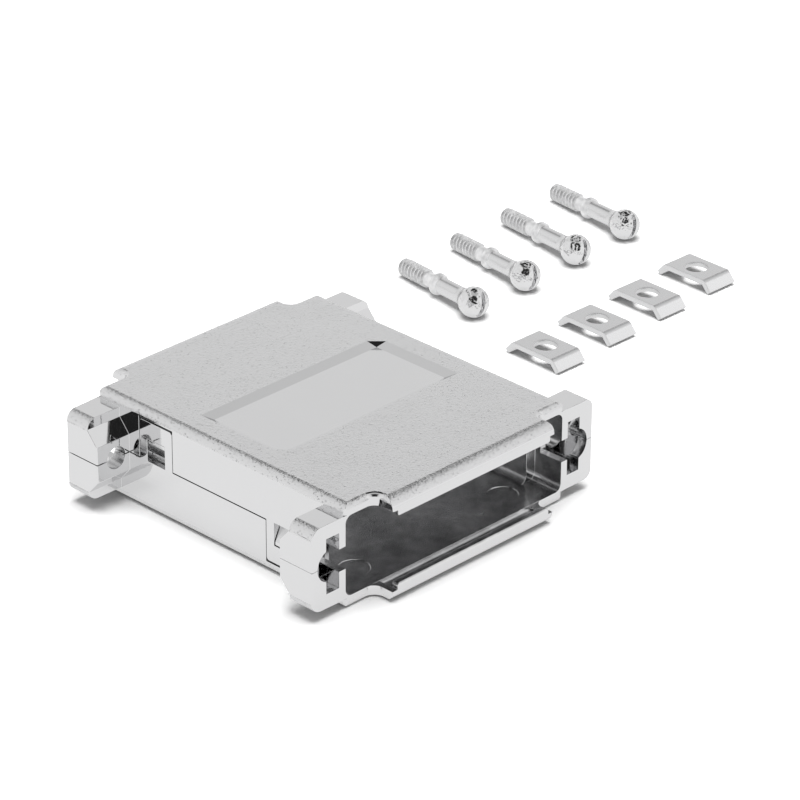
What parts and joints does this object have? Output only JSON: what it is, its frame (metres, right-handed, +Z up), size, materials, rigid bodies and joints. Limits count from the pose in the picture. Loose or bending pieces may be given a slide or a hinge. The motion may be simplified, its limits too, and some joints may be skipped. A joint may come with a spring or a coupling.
{
  "type": "d-sub hood",
  "caption": "Plated metal adapter hood with a D-shaped connector mouth at each end, made of identical snap-together half shells, with its jack screws and retaining clips laid beside it.",
  "frame": {"origin": "on the surface that the hood stands on, below the middle of the hood", "axes": "+X across the hood towards the loose pieces, +Y from the front mouth to the rear mouth, +Z up"},
  "size_m": [0.1222, 0.072, 0.0155],
  "materials": {
    "plated_shell": "bright nickel plating over a die casting, with a fine grain on the outer panels",
    "bright_steel": "bright nickel-plated turned steel",
    "spring_steel": "plated stamped sheet, satin"
  },
  "bodies": {
    "root": {"upper_shell": "plated_shell", "lower_shell": "plated_shell", "jack_screw_1": "bright_steel", "jack_screw_2": "bright_steel", "jack_screw_3": "bright_steel", "jack_screw_4": "bright_steel", "retaining_clip_1": "spring_steel", "retaining_clip_2": "spring_steel", "retaining_clip_3": "spring_steel", "retaining_clip_4": "spring_steel"}
  },
  "joints": []
}
